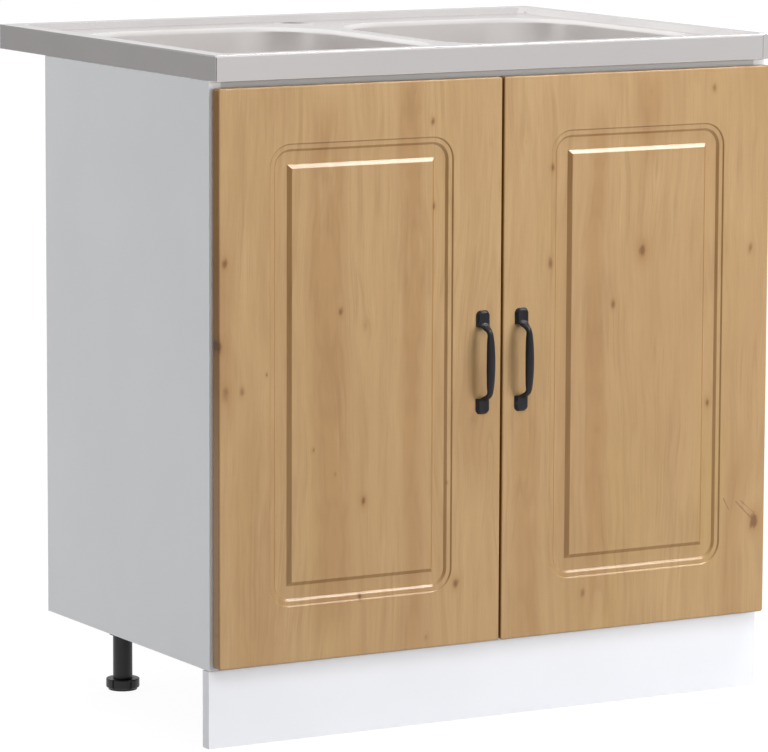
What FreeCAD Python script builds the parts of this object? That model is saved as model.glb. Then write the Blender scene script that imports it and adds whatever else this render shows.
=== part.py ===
import FreeCAD, Part
import math
import os

os.makedirs("parts", exist_ok=True)
Vec = FreeCAD.Vector
RIGHT = Vec(1, 0, 0)
BACK = Vec(0, 1, 0)
UP = Vec(0, 0, 1)

# A two-door kitchen base unit on adjustable legs, with a lay-on sink of two bowls.
# Millimetres. x runs from left to right, y from front to back, z up from the floor.
# The origin is on the floor, under the middle of the whole unit.

# Carcass of coated board
unit_width = 800.0
carcass_depth = 446.0
carcass_height = 718.0
carcass_lift = 97.0
board = 16.0
front_rail_height = 80.0
rear_rail_height = 100.0
rear_rail_drop = 155.0
lower_rail_height = 80.0
wall_hole_spacing = 500.0
wall_hole_radius = 2.75
plinth_thickness = 16.0
plinth_height = 96.0
plinth_setback = 2.0

# Doors with a routed frame and a raised middle field
door_thickness = 16.0
door_stand_off = 4.0
door_side_gap = 2.7
door_middle_gap = 2.6
door_bottom_gap = 4.0
door_top_gap = 8.0
door_corner_radius = 3.5
door_edge_radius = 3.0
frame_width = 69.5
frame_corner = 29.0
outer_step_width = 1.5
outer_step_depth = 2.0
ledge_width = 7.2
inner_step_width = 2.0
inner_step_depth = 2.6
field_width = 16.3
bevel_width = 5.0

# Bow handles, screwed on from behind
handle_edge_distance = 26.8
handle_projection = 25.5
handle_hole_spacing = 96.0
pad_width = 19.5
pad_length = 20.0
pad_reach = 65.0
pad_thickness = 5.0
pad_bevel = 2.8
pad_corner = 6.5
grip_width = 11.2
grip_depth = 10.0
grip_reach = 52.0
# share of the reach, of the rise, of the grip's width and of its depth, from one pad to the middle
grip_shares = (
    (1.00, 0.08, 1.45, 0.40),
    (0.92, 0.18, 1.30, 0.45),
    (0.85, 0.39, 1.10, 0.50),
    (0.80, 0.66, 0.82, 0.54),
    (0.72, 0.89, 0.68, 0.62),
    (0.60, 0.945, 0.79, 0.76),
    (0.40, 0.975, 0.92, 0.92),
    (0.20, 0.995, 0.98, 0.98),
    (0.00, 1.00, 1.00, 1.00),
)

# Machine screws through the doors, and one size of board screw for all fittings
machine_screw_radius = 2.0
machine_screw_grip = 4.2
machine_head_radius = 4.0
machine_head_height = 2.4
board_screw_radius = 1.75
board_screw_length = 13.0
board_head_radius = 3.5
board_head_height = 2.2
cup_screw_length = 9.0
drive_width = 0.8
drive_depth = 1.2
hole_clearance = 0.1

# Cam fittings and dowels that hold the boards
cam_radius = 7.5
cam_depth = 12.5
cam_setback = 34.0
cam_bolt_radius = 3.0
cam_bolt_head_radius = 3.5
cam_bolt_head_length = 3.0
cam_bolt_bite = 11.0
cam_pocket_radius = 3.8
cam_inset = 130.0
dowel_radius = 4.0
dowel_length = 30.0
dowel_bite = 12.0
dowel_offset = 24.0

# Concealed hinges, two to a door
hinge_inset = 100.0
cup_radius = 17.5
cup_depth = 11.5
cup_edge_distance = 3.0
cup_wall = 0.8
cup_flange_radius = 19.0
cup_flange_thickness = 1.2
cup_ear_width = 12.0
cup_ear_reach = 30.0
cup_ear_corner = 5.0
cup_screw_offset = 9.5
cup_screw_spacing = 48.0
pin_edge_distance = 8.0
pin_depth = 9.0
pin_radius = 1.5
pin_half_length = 10.2
pin_clearance = 0.05
pin_boss = 3.0
arm_half_width = 5.0
arm_thickness = 2.5
arm_offset = 9.3
arm_eye_radius = 3.0
arm_link_half = 1.1
arm_cheek = 1.2
arm_overhang = 3.0
arm_side_gap = 0.3
plate_front = 22.0
plate_length = 42.0
plate_thickness = 2.0
wing_length = 14.0
wing_reach = 23.0
wing_corner = 4.0
system_setback = 37.0
system_spacing = 32.0

# Soft pads on the doors, which meet the carcass
bumper_radius = 4.5
bumper_gap = 0.3
bumper_inset = 14.0
bumper_bottom_inset = 5.5
bumper_top_inset = 12.0

# Adjustable legs
leg_side_inset = 71.0
leg_rear_inset = 72.0
leg_front_inset = 60.0
socket_size = 60.0
socket_thickness = 4.0
socket_corner = 8.0
socket_screw_offset = 21.0
socket_depth = 21.0
socket_wall = 4.3
socket_clearance = 0.2
tube_radius = 12.5
tube_wall = 2.5
foot_radius = 21.5
foot_height = 14.6
foot_lip_radius = 18.5
foot_lip_height = 3.0
foot_chamfer = 0.8
foot_notch_count = 6
foot_notch_width = 3.4
foot_notch_depth = 1.6
stud_radius = 8.0
stud_length = 45.0
stud_clearance = 0.3
thread_zone = 20.0
foot_gap = 0.3

# Clips that hold the plinth board to the front legs
clip_plate_width = 40.0
clip_plate_height = 30.0
clip_plate_thickness = 3.0
clip_lift = 36.0
clip_ring_wall = 3.0
clip_ring_height = 22.0
clip_ring_clearance = 0.2
clip_opening = 4.0
clip_bridge_width = 14.0
clip_screw_spacing = 28.0

# Lay-on sink pressed from steel sheet
sink_depth = 600.0
sink_setback = 1.5
lip_height = 32.0
sheet = 1.0
lip_corner = 2.0
lip_edge_radius = 3.0
rim_width = 22.0
rim_slope = 3.0
rim_drop = 8.0
rim_corner = 12.0
hem_width = 12.0
bowl_side_margin = 37.0
bowl_gap = 38.0
bowl_front_margin = 84.0
bowl_back_margin = 100.0
bowl_corner = 105.0
bowl_depth = 145.0
bowl_draft = 7.0
bowl_roll = 6.5
bowl_floor_radius = 27.0
press_margin = 20.0
tap_hole_radius = 17.5
tap_hole_margin = 65.0
tap_seat_radius = 27.0
tap_seat_slope = 1.5
tap_seat_height = 1.0
drain_recess_radius = 59.0
drain_recess_depth = 3.0
drain_hole_radius = 45.0

# Brackets that hold the sink down on the side panels
clamp_width = 30.0
clamp_thickness = 1.5
clamp_drop = 40.0
clamp_tab = 11.0
clamp_screw_drop = 25.0
clamp_inset = 100.0

# Waste outlet of each bowl, with its lift-out strainer
waste_flange_radius = 57.0
waste_flange_thickness = 1.2
waste_cup_radius = 42.0
waste_cup_depth = 36.0
waste_wall = 1.0
waste_hole_radius = 5.0
waste_hole_circle = 26.0
waste_hole_count = 8
seal_outer_radius = 56.0
seal_inner_radius = 46.5
seal_thickness = 3.5
trap_flange_thickness = 3.0
trap_wall = 3.0
trap_clearance = 0.3
trap_depth = 52.0
outlet_radius = 23.9
outlet_wall = 3.9
outlet_length = 32.0
strainer_radius = 38.0
strainer_wall = 0.8
strainer_height = 27.0
strainer_lip = 2.4
strainer_lip_thickness = 0.8
strainer_lift = 0.3
strainer_slot_count = 8
strainer_slot_width = 4.0
strainer_slot_height = 15.0
strainer_hole_count = 6
strainer_hole_radius = 3.0
strainer_hole_circle = 22.0
stem_radius = 3.5
knob_radius = 9.0
knob_thickness = 4.0
knob_drop = 1.2

# Main planes, worked out from the sizes above
half_width = unit_width / 2
side_inner = half_width - board
overall_depth = handle_projection + sink_setback + sink_depth
door_front = handle_projection - overall_depth / 2
door_back = door_front + door_thickness
carcass_front = door_back + door_stand_off
carcass_back = carcass_front + carcass_depth
carcass_bottom = carcass_lift
carcass_top = carcass_lift + carcass_height
shelf_top = carcass_bottom + board
door_outer = half_width - door_side_gap
door_inner = door_middle_gap / 2
door_bottom = carcass_bottom + door_bottom_gap
door_top = carcass_top - door_top_gap
door_middle = (door_bottom + door_top) / 2
sink_front = door_front + sink_setback
sink_back = sink_front + sink_depth
rim_top = carcass_top + lip_height
deck_top = rim_top - rim_drop
bowl_width = half_width - bowl_side_margin - bowl_gap / 2
bowl_length = sink_depth - bowl_front_margin - bowl_back_margin
bowl_back = sink_back - bowl_back_margin
bowl_middle_y = bowl_back - bowl_length / 2
bowl_middle_x = (bowl_gap + bowl_width) / 2
bowl_floor = deck_top - bowl_depth


def block(x0, x1, y0, y1, z0, z1):
    """A box between two corners."""
    return Part.makeBox(x1 - x0, y1 - y0, z1 - z0, Vec(x0, y0, z0))


def rod(radius, start, direction, length):
    """A round bar from a start point."""
    return Part.makeCylinder(radius, length, start, direction)


def on_level(z):
    """Places outline points on a horizontal plane."""
    return lambda a, b: Vec(a, b, z)


def on_front(y):
    """Places outline points on an upright plane that faces the front."""
    return lambda a, b: Vec(a, y, b)


def on_side(x):
    """Places outline points on an upright plane that faces sideways."""
    return lambda a, b: Vec(x, a, b)


def rounded_outline(a, b, half_a, half_b, corner, place):
    """A closed rectangle with round corners about the point a, b."""
    edges = []
    diagonal = corner * math.sqrt(0.5)
    turns = ((1, 1), (-1, 1), (-1, -1), (1, -1))
    starts = []
    ends = []
    for sa, sb in turns:
        ca = a + sa * (half_a - corner)
        cb = b + sb * (half_b - corner)
        along_a = place(ca + sa * corner, cb)
        along_b = place(ca, cb + sb * corner)
        first, last = (along_a, along_b) if sa * sb > 0 else (along_b, along_a)
        middle = place(ca + sa * diagonal, cb + sb * diagonal)
        edges.append(Part.Arc(first, middle, last).toShape())
        starts.append(first)
        ends.append(last)
    for i in range(len(turns)):
        following = starts[(i + 1) % len(turns)]
        edges.insert(2 * i + 1, Part.LineSegment(ends[i], following).toShape())
    return Part.Wire(edges)


def sharp_outline(a, b, half_a, half_b, place):
    """A closed rectangle with sharp corners about the point a, b."""
    corners = [place(a + sa * half_a, b + sb * half_b) for sa, sb in ((1, 1), (-1, 1), (-1, -1), (1, -1))]
    return Part.makePolygon(corners + corners[:1])


def between(first, second):
    """The solid whose straight sides join two outlines."""
    return Part.makeLoft([first, second], True, True)


def prism(outline, direction):
    """An outline drawn out along a vector."""
    return Part.Face(outline).extrude(direction)


def turned(points, centre):
    """A solid of revolution about an upright axis, from radius and height pairs."""
    corners = [Vec(centre.x + r, centre.y, z) for r, z in points]
    face = Part.Face(Part.makePolygon(corners + corners[:1]))
    return face.revolve(centre, UP, 360)


def mirrored(shape):
    """The same piece on the other side of the unit."""
    return shape.mirror(Vec(0, 0, 0), RIGHT)


def group(shapes):
    """Separate solids kept together under one name."""
    return Part.makeCompound(shapes)


def write(name, shape):
    shape.exportStep("parts/" + name + ".step")


def edges_near(shape, test):
    """The edges whose middle passes a test."""
    return [e for e in shape.Edges if test(e.valueAt((e.FirstParameter + e.LastParameter) / 2))]


def screw(tip_side, direction, radius, length, head_radius, head_height):
    """A screw whose head rests on a surface at tip_side and whose shank runs along direction."""
    shank = rod(radius, tip_side, direction, length)
    head = rod(head_radius, tip_side, direction * -1, head_height)
    across = RIGHT if abs(direction.x) < 0.5 else BACK
    other = direction.cross(across)
    top = tip_side - direction * (head_height - drive_depth)
    for slot in (across, other):
        side = direction.cross(slot)
        start = top - slot * radius - side * (drive_width / 2)
        cut = Part.makePolygon([
            start,
            start + slot * (2 * radius),
            start + slot * (2 * radius) + side * drive_width,
            start + side * drive_width,
            start,
        ])
        head = head.cut(prism(cut, direction * -drive_depth))
    return shank.fuse(head).removeSplitter()


def board_screw(seat, direction):
    shank = (board_screw_radius, board_screw_length)
    return screw(seat, direction, *shank, board_head_radius, board_head_height)


def pilot_hole(seat, direction):
    return rod(board_screw_radius + hole_clearance, seat, direction, board_screw_length + hole_clearance)


# Cam fittings: each place is the middle of a board's end, with the side the cam opens to
front_rail_middle = carcass_front + board / 2
rear_rail_middle = carcass_back - board / 2
rear_rail_top = carcass_top - rear_rail_drop
front_rail_level = carcass_top - front_rail_height / 2
rear_rail_level = rear_rail_top - rear_rail_height / 2
lower_rail_level = shelf_top + lower_rail_height / 2
shelf_level = carcass_bottom + board / 2
cam_places = (
    (carcass_front + cam_inset, shelf_level, UP * -1),
    (carcass_back - cam_inset, shelf_level, UP * -1),
    (front_rail_middle, front_rail_level, BACK),
    (rear_rail_middle, rear_rail_level, BACK * -1),
    (rear_rail_middle, lower_rail_level, BACK * -1),
)
dowel_places = (
    (carcass_front + cam_inset + dowel_offset, shelf_level),
    (carcass_back - cam_inset - dowel_offset, shelf_level),
    (front_rail_middle, front_rail_level + dowel_offset),
    (rear_rail_middle, rear_rail_level + dowel_offset),
    (rear_rail_middle, lower_rail_level + dowel_offset),
)


cam_axis_x = side_inner - cam_setback


def cam_body(y, z, opening, slack):
    """The round cam, or with slack its bore, on the right end of a board."""
    middle = Vec(cam_axis_x, y, z)
    return rod(cam_radius + slack, middle + opening * (board / 2), opening * -1, cam_depth + slack)


def cam(y, z, opening):
    middle = Vec(cam_axis_x, y, z)
    pocket = rod(cam_pocket_radius, middle, RIGHT, cam_radius * 2)
    slot_half = cam_bolt_head_radius / 4
    face = middle + opening * (board / 2)
    slot = block(
        -cam_radius / 2, cam_radius / 2, -slot_half, slot_half, -drive_depth, 0
    )
    slot.Placement = FreeCAD.Placement(face, FreeCAD.Rotation(UP, opening))
    return cam_body(y, z, opening, 0).cut(pocket).cut(slot)


def cam_bolt(y, z):
    head_end = cam_axis_x
    head = rod(cam_bolt_head_radius, Vec(head_end, y, z), RIGHT, cam_bolt_head_length)
    shank_start = head_end + cam_bolt_head_length
    shank = rod(cam_bolt_radius, Vec(shank_start, y, z), RIGHT, side_inner + cam_bolt_bite - shank_start)
    return head.fuse(shank)


def bolt_bore(y, z):
    start = cam_axis_x
    length = side_inner + cam_bolt_bite + hole_clearance - start
    return rod(cam_pocket_radius, Vec(start, y, z), RIGHT, length)


def dowel(y, z, slack):
    start = side_inner + dowel_bite - dowel_length - slack
    return rod(dowel_radius + slack, Vec(start, y, z), RIGHT, dowel_length + 2 * slack)


def both_sides(shapes):
    return shapes + [mirrored(s) for s in shapes]


cams = both_sides([cam(y, z, d) for y, z, d in cam_places])
cam_bores = both_sides([cam_body(y, z, d, hole_clearance) for y, z, d in cam_places])
bolts = both_sides([cam_bolt(y, z) for y, z, d in cam_places])
bolt_bores = both_sides([bolt_bore(y, z) for y, z, d in cam_places])
dowels = both_sides([dowel(y, z, 0) for y, z in dowel_places])
dowel_bores = both_sides([dowel(y, z, hole_clearance) for y, z in dowel_places])
write("cam_locks", group(cams))
write("cam_bolts", group(bolts))
write("wood_dowels", group(dowels))

# Hinge places: the upper and the lower hinge of a door
hinge_levels = {"upper": door_top - hinge_inset, "lower": door_bottom + hinge_inset}
pin_x = door_outer - pin_edge_distance
pin_y = door_front + pin_depth
cup_x = door_outer - cup_edge_distance - cup_radius
cup_bottom = door_back - cup_depth
arm_face = pin_x - arm_offset
plate_face = side_inner - plate_thickness
plate_start = carcass_front + plate_front
plate_end = plate_start + plate_length
plate_screw_y = carcass_front + system_setback

# Fittings of the right-hand half are drawn, and mirrored for the left-hand half
leg_x = half_width - leg_side_inset
leg_rows = {"front": carcass_front + leg_front_inset, "rear": carcass_back - leg_rear_inset}
socket_bottom = carcass_bottom - socket_thickness
clamp_rows = (carcass_front + clamp_inset, carcass_back - clamp_inset)
clamp_screw_level = carcass_top - clamp_screw_drop
plinth_front = carcass_front + plinth_setback
plinth_back = plinth_front + plinth_thickness
clip_middle = clip_lift + clip_plate_height / 2

screw_seats = []
for level in hinge_levels.values():
    for step in (-1, 1):
        seat = Vec(plate_face, plate_screw_y, level + step * system_spacing / 2)
        screw_seats.append((seat, RIGHT))
for row in clamp_rows:
    screw_seats.append((Vec(side_inner - clamp_thickness, row, clamp_screw_level), RIGHT))
for row in leg_rows.values():
    for step_x in (-1, 1):
        for step_y in (-1, 1):
            step = Vec(step_x * socket_screw_offset, step_y * socket_screw_offset, 0)
            screw_seats.append((Vec(leg_x, row, socket_bottom) + step, UP))
for step in (-1, 1):
    seat = Vec(leg_x + step * clip_screw_spacing / 2, plinth_back + clip_plate_thickness, clip_middle)
    screw_seats.append((seat, BACK * -1))
board_screws = both_sides([board_screw(seat, direction) for seat, direction in screw_seats])
pilot_holes = both_sides([pilot_hole(seat, direction) for seat, direction in screw_seats])
write("board_screws", group(board_screws))

# Boards of the carcass, bored for their fittings
carcass_bores = cam_bores + bolt_bores + dowel_bores + pilot_holes


def drilled(shape, tools):
    """A board with the holes that reach into it."""
    reaching = [t for t in tools if shape.BoundBox.intersect(t.BoundBox)]
    return shape.cut(reaching) if reaching else shape


def carcass_board(x0, x1, y0, y1, z0, z1):
    return drilled(block(x0, x1, y0, y1, z0, z1), carcass_bores)


def cross_board(y0, y1, z0, z1):
    """A board that spans the inside of the carcass."""
    return carcass_board(-side_inner, side_inner, y0, y1, z0, z1)


right_side = carcass_board(
    side_inner, half_width, carcass_front, carcass_back, carcass_bottom, carcass_top
)
rail_front = carcass_back - board
wall_rail = cross_board(rail_front, carcass_back, rear_rail_top - rear_rail_height, rear_rail_top)
for step in (-1, 1):
    hole_start = Vec(step * wall_hole_spacing / 2, rail_front, rear_rail_level)
    wall_rail = wall_rail.cut(rod(wall_hole_radius, hole_start, BACK, board))
boards = {
    "right_side_panel": right_side,
    "left_side_panel": mirrored(right_side),
    "bottom_panel": cross_board(carcass_front, carcass_back, carcass_bottom, shelf_top),
    "front_top_rail": cross_board(
        carcass_front, carcass_front + board, carcass_top - front_rail_height, carcass_top
    ),
    "rear_wall_rail": wall_rail,
    "rear_lower_rail": cross_board(
        rail_front, carcass_back, shelf_top, shelf_top + lower_rail_height
    ),
    "plinth_board": carcass_board(
        -half_width, half_width, plinth_front, plinth_back, 0, plinth_height
    ),
}
for name, piece in boards.items():
    write(name, piece)

# Plinth clips: a plate on the board and an open ring round the front leg
clip_y = leg_rows["front"]
ring_inner = tube_radius + clip_ring_clearance
ring_outer = ring_inner + clip_ring_wall
ring_low = clip_middle - clip_ring_height / 2
ring_high = clip_middle + clip_ring_height / 2
ring_base = Vec(leg_x, clip_y, ring_low)
ring = rod(ring_outer, ring_base, UP, clip_ring_height)
bridge = block(
    leg_x - clip_bridge_width / 2,
    leg_x + clip_bridge_width / 2,
    plinth_back + clip_plate_thickness,
    clip_y - ring_inner,
    ring_low,
    ring_high,
)
plate = prism(
    rounded_outline(
        leg_x, clip_middle, clip_plate_width / 2, clip_plate_height / 2, clip_ring_wall, on_front(plinth_back)
    ),
    BACK * clip_plate_thickness,
)
opening = block(
    leg_x - ring_outer, leg_x + ring_outer, clip_y + clip_opening, clip_y + ring_outer, ring_low, ring_high
)
clip = ring.fuse([bridge, plate]).cut([rod(ring_inner, ring_base, UP, clip_ring_height), opening])
clip = drilled(clip.removeSplitter(), pilot_holes)
write("plinth_clips", group([clip, mirrored(clip)]))

# Legs: a socket under the box, a tube pushed into it, and a foot that screws in and out
for row_name, leg_y in leg_rows.items():
    axis = Vec(leg_x, leg_y, 0)
    tube_bottom = foot_height + foot_gap
    sleeve_inner = tube_radius + socket_clearance
    socket_half = socket_size / 2
    socket_outline = rounded_outline(
        leg_x, leg_y, socket_half, socket_half, socket_corner, on_level(socket_bottom)
    )
    socket_plate = prism(socket_outline, UP * socket_thickness)
    sleeve = turned(
        (
            (sleeve_inner, socket_bottom - socket_depth),
            (sleeve_inner + socket_wall, socket_bottom - socket_depth),
            (sleeve_inner + socket_wall, socket_bottom),
            (sleeve_inner, socket_bottom),
        ),
        axis,
    )
    socket = drilled(socket_plate.fuse(sleeve).removeSplitter(), pilot_holes)
    tube = turned(
        (
            (stud_radius + stud_clearance, tube_bottom),
            (tube_radius, tube_bottom),
            (tube_radius, socket_bottom),
            (tube_radius - tube_wall, socket_bottom),
            (tube_radius - tube_wall, tube_bottom + thread_zone),
            (stud_radius + stud_clearance, tube_bottom + thread_zone),
        ),
        axis,
    )
    foot = turned(
        (
            (0, 0),
            (foot_lip_radius, 0),
            (foot_lip_radius, foot_lip_height),
            (foot_radius - foot_chamfer, foot_lip_height),
            (foot_radius, foot_lip_height + foot_chamfer),
            (foot_radius, foot_height - foot_chamfer),
            (foot_radius - foot_chamfer, foot_height),
            (stud_radius, foot_height),
            (stud_radius, foot_height + stud_length),
            (0, foot_height + stud_length),
        ),
        axis,
    )
    notches = []
    for i in range(foot_notch_count):
        notch = block(
            foot_radius - foot_notch_depth,
            foot_radius + foot_notch_depth,
            -foot_notch_width / 2,
            foot_notch_width / 2,
            foot_lip_height,
            foot_height,
        )
        notch.rotate(Vec(0, 0, 0), UP, 360 * (i + 0.5) / foot_notch_count)
        notch.translate(axis)
        notches.append(notch)
    foot = foot.cut(notches)
    for side, turn in (("right", lambda s: s), ("left", mirrored)):
        write("leg_socket_" + row_name + "_" + side, turn(socket))
        write("leg_tube_" + row_name + "_" + side, turn(tube))
        write("foot_" + row_name + "_" + side, turn(foot))

# Hinges: a cup pressed into the door, an arm on the side panel's plate, and the pin between them
cup_mouth = cup_radius - cup_wall
cups = {}
arms = {}
plates = {}
pins = []
cup_screws = []
cup_bores = []
for name, level in hinge_levels.items():
    cup_axis = Vec(cup_x, cup_bottom, level)
    shell = rod(cup_radius, cup_axis, BACK, cup_depth)
    flange = rod(cup_flange_radius, Vec(cup_x, door_back, level), BACK, cup_flange_thickness)
    ear_x = cup_x - cup_screw_offset
    ear_outline = rounded_outline(
        ear_x, level, cup_ear_width / 2, cup_ear_reach, cup_ear_corner, on_front(door_back)
    )
    ears = prism(ear_outline, BACK * cup_flange_thickness)
    hollow_floor = cup_bottom + cup_wall
    hollow_depth = door_back + cup_flange_thickness - hollow_floor
    hollow = rod(cup_mouth, Vec(cup_x, hollow_floor, level), BACK, hollow_depth)
    boss_reach = arm_half_width + 2 * arm_side_gap
    boss_place = (pin_x - pin_boss, pin_x + pin_boss, hollow_floor, pin_y + pin_boss)
    bosses = block(*boss_place, level - cup_radius, level + cup_radius)
    middle_gap = block(*boss_place, level - boss_reach, level + boss_reach)
    bosses = bosses.cut(middle_gap).common(shell)
    pin_start = Vec(pin_x, pin_y, level - pin_half_length)
    pin = rod(pin_radius, pin_start, UP, 2 * pin_half_length)
    cup = shell.fuse([flange, ears]).cut(hollow).fuse(bosses).cut(pin)
    for step in (-1, 1):
        seat = Vec(ear_x, door_back + cup_flange_thickness, level + step * cup_screw_spacing / 2)
        shank = (board_screw_radius, cup_screw_length)
        cup_screws.append(screw(seat, BACK * -1, *shank, board_head_radius, board_head_height))
        bore_radius = board_screw_radius + hole_clearance
        cup_bores.append(rod(bore_radius, seat, BACK * -1, cup_screw_length + hole_clearance))
    cup = drilled(cup.removeSplitter(), cup_bores)
    bore_start = cup_axis - BACK * hole_clearance
    cup_bores.append(rod(cup_radius + hole_clearance, bore_start, BACK, cup_depth + hole_clearance))
    arm_low = level - arm_half_width
    arm_high = level + arm_half_width
    eye = rod(arm_eye_radius, Vec(pin_x, pin_y, arm_low), UP, 2 * arm_half_width)
    link_back = pin_y + arm_link_half
    link_front = pin_y - arm_link_half
    link = block(arm_face - arm_thickness, pin_x, link_front, link_back, arm_low, arm_high)
    arm_end = plate_end + arm_overhang
    strip = block(arm_face - arm_thickness, arm_face, link_front, arm_end, arm_low, arm_high)
    cheek_foot = plate_face - arm_side_gap
    cheeks = [
        block(arm_face, cheek_foot, plate_start, arm_end, low, low + arm_cheek)
        for low in (arm_low, arm_high - arm_cheek)
    ]
    eye_hole = rod(pin_radius + pin_clearance, Vec(pin_x, pin_y, arm_low), UP, 2 * arm_half_width)
    arm = eye.fuse([link, strip] + cheeks).cut(eye_hole).removeSplitter()
    rib_half = arm_half_width - arm_cheek - arm_side_gap
    rib = block(arm_face, side_inner, plate_start, plate_end, level - rib_half, level + rib_half)
    wing_outline = rounded_outline(
        plate_screw_y, level, wing_length / 2, wing_reach, wing_corner, on_side(plate_face)
    )
    wings = prism(wing_outline, RIGHT * plate_thickness)
    plates[name] = drilled(wings.fuse(rib).removeSplitter(), pilot_holes)
    cups[name] = cup
    arms[name] = arm
    pins.append(pin)
for name in hinge_levels:
    for side, turn in (("right", lambda s: s), ("left", mirrored)):
        write("hinge_cup_" + name + "_" + side, turn(cups[name]))
        write("hinge_arm_" + name + "_" + side, turn(arms[name]))
        write("hinge_plate_" + name + "_" + side, turn(plates[name]))

# Handles: two pads on the door and a bowed grip between them
handle_x = door_inner + handle_edge_distance
grip_rise = handle_projection - grip_depth / 2


handle_band = (handle_x - pad_width, handle_x + pad_width)


def grip_stations():
    """Points along the grip from its upper pad to its lower one, with half width and half depth."""
    sizes = (grip_reach, grip_rise, grip_width / 2, grip_depth / 2)
    upper = [tuple(share * size for share, size in zip(row, sizes)) for row in grip_shares]
    lower = [(-a, r, w, d) for a, r, w, d in reversed(upper[:-1])]
    return upper + lower


def grip_solid():
    stations = grip_stations()
    sections = []
    for i, (along, rise, half_w, half_d) in enumerate(stations):
        before = stations[max(i - 1, 0)]
        after = stations[min(i + 1, len(stations) - 1)]
        run = Vec(0, before[1] - after[1], after[0] - before[0]).normalize()
        across = RIGHT.cross(run)
        centre = Vec(handle_x, door_front - rise, door_middle + along)
        wide = centre + RIGHT * half_w
        deep = centre + across * half_d
        if half_w < half_d:
            curve = Part.Ellipse(deep, wide, centre)
        else:
            curve = Part.Ellipse(wide, deep, centre)
        sections.append(Part.Wire([curve.toShape()]))
    return Part.makeLoft(sections, True, False)


def handle_pad(step):
    """The pad above or below the grip, with a bevelled round outer end."""
    middle = door_middle + step * (pad_reach - pad_length)
    base = rounded_outline(handle_x, middle, pad_width / 2, pad_length, pad_corner, on_front(door_front))
    face = rounded_outline(
        handle_x,
        middle,
        pad_width / 2 - pad_bevel,
        pad_length - pad_bevel,
        pad_corner - pad_bevel,
        on_front(door_front - pad_thickness),
    )
    pad = between(base, face)
    keep_low = middle if step > 0 else middle - pad_length
    keep_depth = (door_front - pad_thickness, door_front)
    keep = block(*handle_band, *keep_depth, keep_low, keep_low + pad_length)
    return pad.common(keep)


handle_seats = [
    Vec(handle_x, door_back, door_middle + step * handle_hole_spacing / 2) for step in (-1, 1)
]
machine_length = door_thickness + machine_screw_grip
handle_screws = [
    screw(seat, BACK * -1, machine_screw_radius, machine_length, machine_head_radius, machine_head_height)
    for seat in handle_seats
]
handle_bores = [
    rod(machine_screw_radius + hole_clearance, seat, BACK * -1, machine_length + hole_clearance)
    for seat in handle_seats
]
handle = grip_solid().fuse([handle_pad(1), handle_pad(-1)])
behind_face = block(
    *handle_band, door_front, door_back, door_middle - pad_reach, door_middle + pad_reach
)
handle = handle.cut(behind_face).cut(handle_bores)

# Doors: a board with its outer edges eased, two routed steps, and a bevelled raised field
door_half_width = (door_outer - door_inner) / 2
door_half_height = (door_top - door_bottom) / 2
door_centre = (door_outer + door_inner) / 2
slab_outline = rounded_outline(
    door_centre, door_middle, door_half_width, door_half_height, door_corner_radius, on_front(door_front)
)
slab = prism(slab_outline, BACK * door_thickness)
front_edges = edges_near(slab, lambda p: abs(p.y - door_front) < door_edge_radius / 2)
slab = slab.makeFillet(door_edge_radius, front_edges)


def routed_step(inset, corner, width, depth, start_depth):
    """One step of the routing, from its upper outline down to its foot."""
    upper = rounded_outline(
        door_centre,
        door_middle,
        door_half_width - inset,
        door_half_height - inset,
        corner,
        on_front(door_front + start_depth),
    )
    foot = rounded_outline(
        door_centre,
        door_middle,
        door_half_width - inset - width,
        door_half_height - inset - width,
        corner - width,
        on_front(door_front + start_depth + depth),
    )
    return between(upper, foot)


outer_step = routed_step(frame_width, frame_corner, outer_step_width, outer_step_depth, 0)
inner_inset = frame_width + ledge_width
inner_step = routed_step(
    inner_inset, frame_corner - ledge_width, inner_step_width, inner_step_depth, outer_step_depth
)
routing_depth = outer_step_depth + inner_step_depth
raised_inset = inner_inset + inner_step_width + field_width
raised_foot = sharp_outline(
    door_centre,
    door_middle,
    door_half_width - raised_inset,
    door_half_height - raised_inset,
    on_front(door_front + routing_depth),
)
raised_face = sharp_outline(
    door_centre,
    door_middle,
    door_half_width - raised_inset - bevel_width,
    door_half_height - raised_inset - bevel_width,
    on_front(door_front),
)
routing = outer_step.fuse(inner_step).cut(between(raised_foot, raised_face))
door = slab.cut(routing).cut(cup_bores + handle_bores)

# Bumpers near the free corners of each door
bumper_height = door_stand_off - bumper_gap
bumpers = [
    rod(bumper_radius, Vec(door_inner + bumper_inset, door_back, level), BACK, bumper_height)
    for level in (door_bottom + bumper_bottom_inset, door_top - bumper_top_inset)
]
door_pieces = {
    "door": door,
    "handle": handle,
    "handle_screws": group(handle_screws),
    "door_bumpers": group(bumpers),
    "hinge_pins": group(pins),
    "hinge_cup_screws": group(cup_screws),
}
for name, piece in door_pieces.items():
    write("right_" + name, piece)
    write("left_" + name, mirrored(piece))

# Sink top: skirt, rim, recessed deck and the hem that rests on the side panels
sink_middle = (sink_front + sink_back) / 2


def sink_outline(inset, corner, z):
    return rounded_outline(
        0, sink_middle, half_width - inset, sink_depth / 2 - inset, corner, on_level(z)
    )


def eased_prism(inset, corner, low, high, easing):
    """The sink's outer form, or the hollow under it, with its top edge rounded."""
    form = prism(sink_outline(inset, corner, low), UP * (high - low))
    return form.makeFillet(easing, edges_near(form, lambda p: abs(p.z - high) < easing / 2))


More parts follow.
